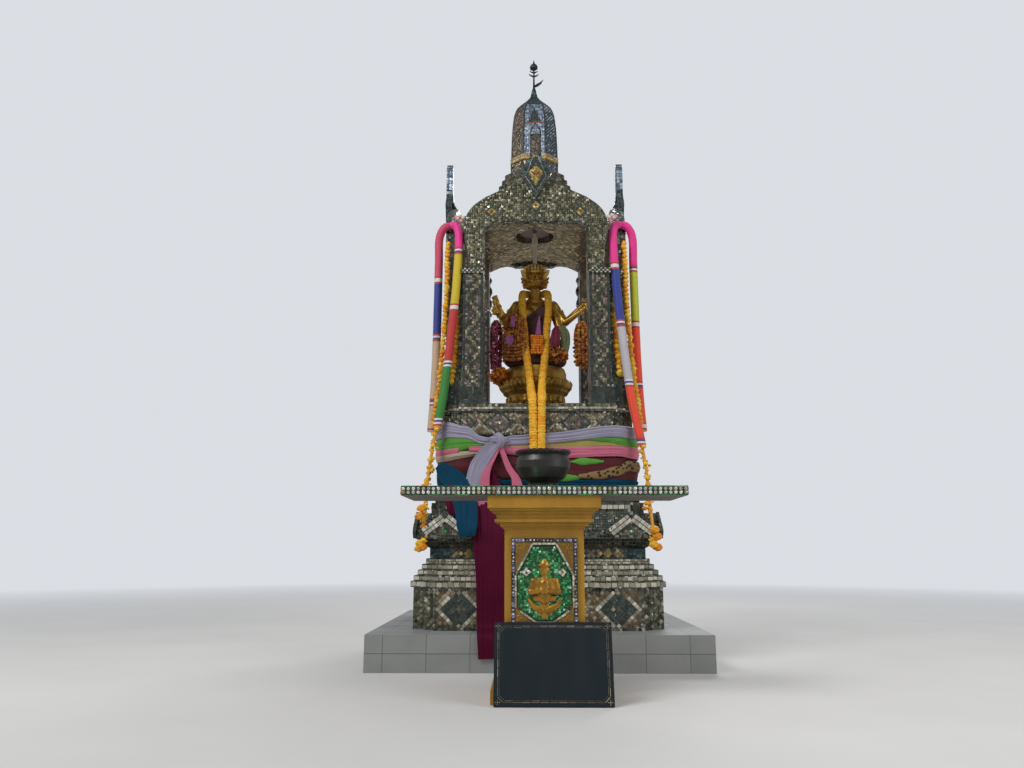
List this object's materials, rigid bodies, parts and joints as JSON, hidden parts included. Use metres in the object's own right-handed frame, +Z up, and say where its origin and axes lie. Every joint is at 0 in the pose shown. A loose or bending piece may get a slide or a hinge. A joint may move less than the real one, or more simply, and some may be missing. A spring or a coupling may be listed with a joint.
{
  "type": "spirit house",
  "caption": "Mirror-mosaic spirit house: a gilded seated figure in an open four-arched pavilion with a bell dome on a redented pedestal, with an offering table, garlands and sashes.",
  "frame": {"origin": "on the ground under the dome, at the middle of the stand's underside", "axes": "+Z up along the dome's axis, -Y towards the offering table in front, +X to the right seen from the front"},
  "size_m": [2.48, 3.7835, 5.486],
  "materials": {
    "mirror_mosaic": "small mirror tiles in grey mortar",
    "dark_mosaic": "dark green glass tiles",
    "teal_mirror": "dark teal mirror strips",
    "vault_mosaic": "tan mirror strips",
    "rosette_red": "dark red glass",
    "lamp_white": "white enamel and glass",
    "dome_mirror": "blue-grey mirror facets",
    "gold_band": "gold glass tiles",
    "dark_iron": "dark painted iron",
    "gilding": "gilded casting",
    "dried_flowers": "dried flowers",
    "marigold": "marigold garland",
    "garland_cloth": "bright cloth tubes",
    "sash_cloth": "thin coloured sashes",
    "magenta_cloth": "sheer magenta cloth",
    "grey_tile": "matt grey tiles",
    "table_mosaic": "round mirrors on green glass",
    "ochre_gold": "ochre gold paint",
    "green_glass": "green mirror glass and gilded relief",
    "black_bowl": "black glaze",
    "slate_board": "dark polished stone"
  },
  "bodies": {
    "root": {"plinth": "grey_tile", "dado": "mirror_mosaic", "mirror_steps": "mirror_mosaic", "neck": "dark_mosaic", "slope_roof": "dark_mosaic", "slope_gables": "mirror_mosaic", "upper_steps": "mirror_mosaic", "waist": "mirror_mosaic", "frieze": "mirror_mosaic", "deck": "mirror_mosaic", "pillar_bases": "mirror_mosaic", "pillar_front_left": "mirror_mosaic", "pillar_front_right": "mirror_mosaic", "pillar_back_left": "mirror_mosaic", "pillar_back_right": "mirror_mosaic", "capitals": "dark_mosaic", "arch_front": "mirror_mosaic", "arch_back": "mirror_mosaic", "arch_left": "mirror_mosaic", "arch_right": "mirror_mosaic", "vault": "vault_mosaic", "ceiling_rosette": "rosette_red", "lamp": "lamp_white", "roof_steps": "mirror_mosaic", "crests": "teal_mirror", "dome": "dome_mirror", "dome_band": "gold_band", "finial": "dark_iron", "seat": "gilding", "figure": "gilding", "figure_head": "gilding", "hand_garlands": "dried_flowers", "neck_garland": "marigold", "garland_left_front": "garland_cloth", "garland_left_side": "garland_cloth", "garland_right_front": "garland_cloth", "garland_right_side": "garland_cloth", "sash_band": "sash_cloth", "sash_tails": "magenta_cloth", "table_slab": "table_mosaic", "table_pedestal": "ochre_gold", "table_panel": "green_glass", "incense_bowl": "black_bowl", "board": "slate_board"}
  },
  "joints": []
}
